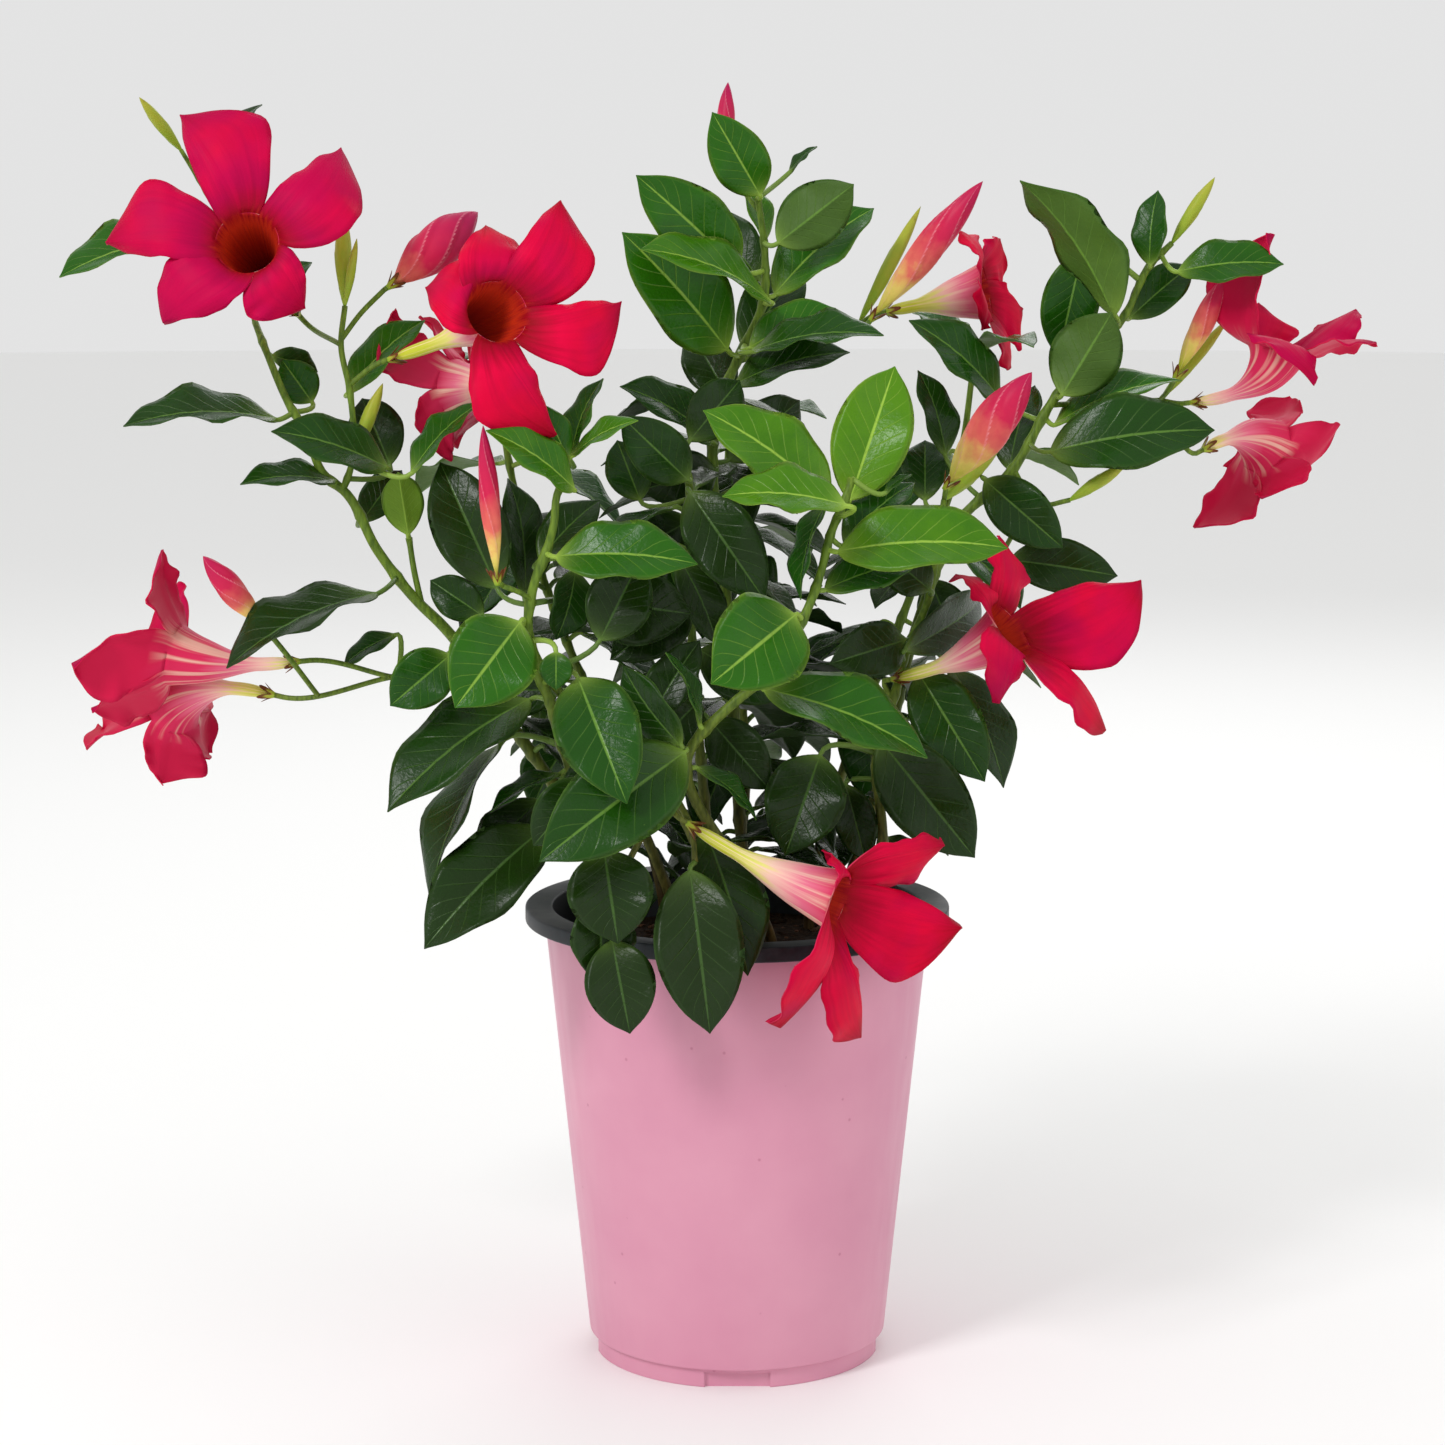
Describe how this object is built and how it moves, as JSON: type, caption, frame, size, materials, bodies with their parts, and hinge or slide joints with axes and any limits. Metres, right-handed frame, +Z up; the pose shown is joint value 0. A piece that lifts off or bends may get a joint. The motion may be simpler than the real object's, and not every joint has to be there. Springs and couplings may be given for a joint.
{
  "type": "potted dipladenia",
  "caption": "Flowering potted dipladenia: leafy twining shoots with red trumpet blooms and buds, in soil, in a black nursery pot inside a tapered pink cover pot.",
  "frame": {"origin": "on the pots' axis, at the height of the surface that the foot ring stands on", "axes": "+Z up along the pots' axis, +X across the plant's widest spread, -Y towards the side with most blooms"},
  "size_m": [0.5141, 0.2478, 0.5084],
  "materials": {
    "pink_plastic": "satin",
    "black_plastic": "satin",
    "soil_brown": "matte",
    "leaf_green": "satin",
    "petal_red": "satin",
    "bud_red": "satin"
  },
  "bodies": {
    "root": {"cover_pot": "pink_plastic", "grow_pot": "black_plastic", "soil": "soil_brown", "shoot_left": "leaf_green", "shoot_left_front": "leaf_green", "shoot_front": "leaf_green", "shoot_top": "leaf_green", "shoot_right": "leaf_green", "shoot_right_low": "leaf_green", "shoot_low_left": "leaf_green", "shoot_skirt": "leaf_green", "shoot_mid": "leaf_green", "shoot_back_left": "leaf_green", "shoot_back_right": "leaf_green", "shoot_back": "leaf_green", "bloom_1": "petal_red", "bloom_2": "petal_red", "bloom_3": "petal_red", "bloom_4": "petal_red", "bloom_5": "petal_red", "bloom_6": "petal_red", "bloom_7": "petal_red", "bloom_8": "petal_red", "bloom_9": "petal_red", "bloom_10": "petal_red", "bud_1": "bud_red", "bud_2": "bud_red", "bud_3": "bud_red", "bud_4": "bud_red", "bud_5": "bud_red", "bud_6": "bud_red", "bud_7": "bud_red"}
  },
  "joints": []
}
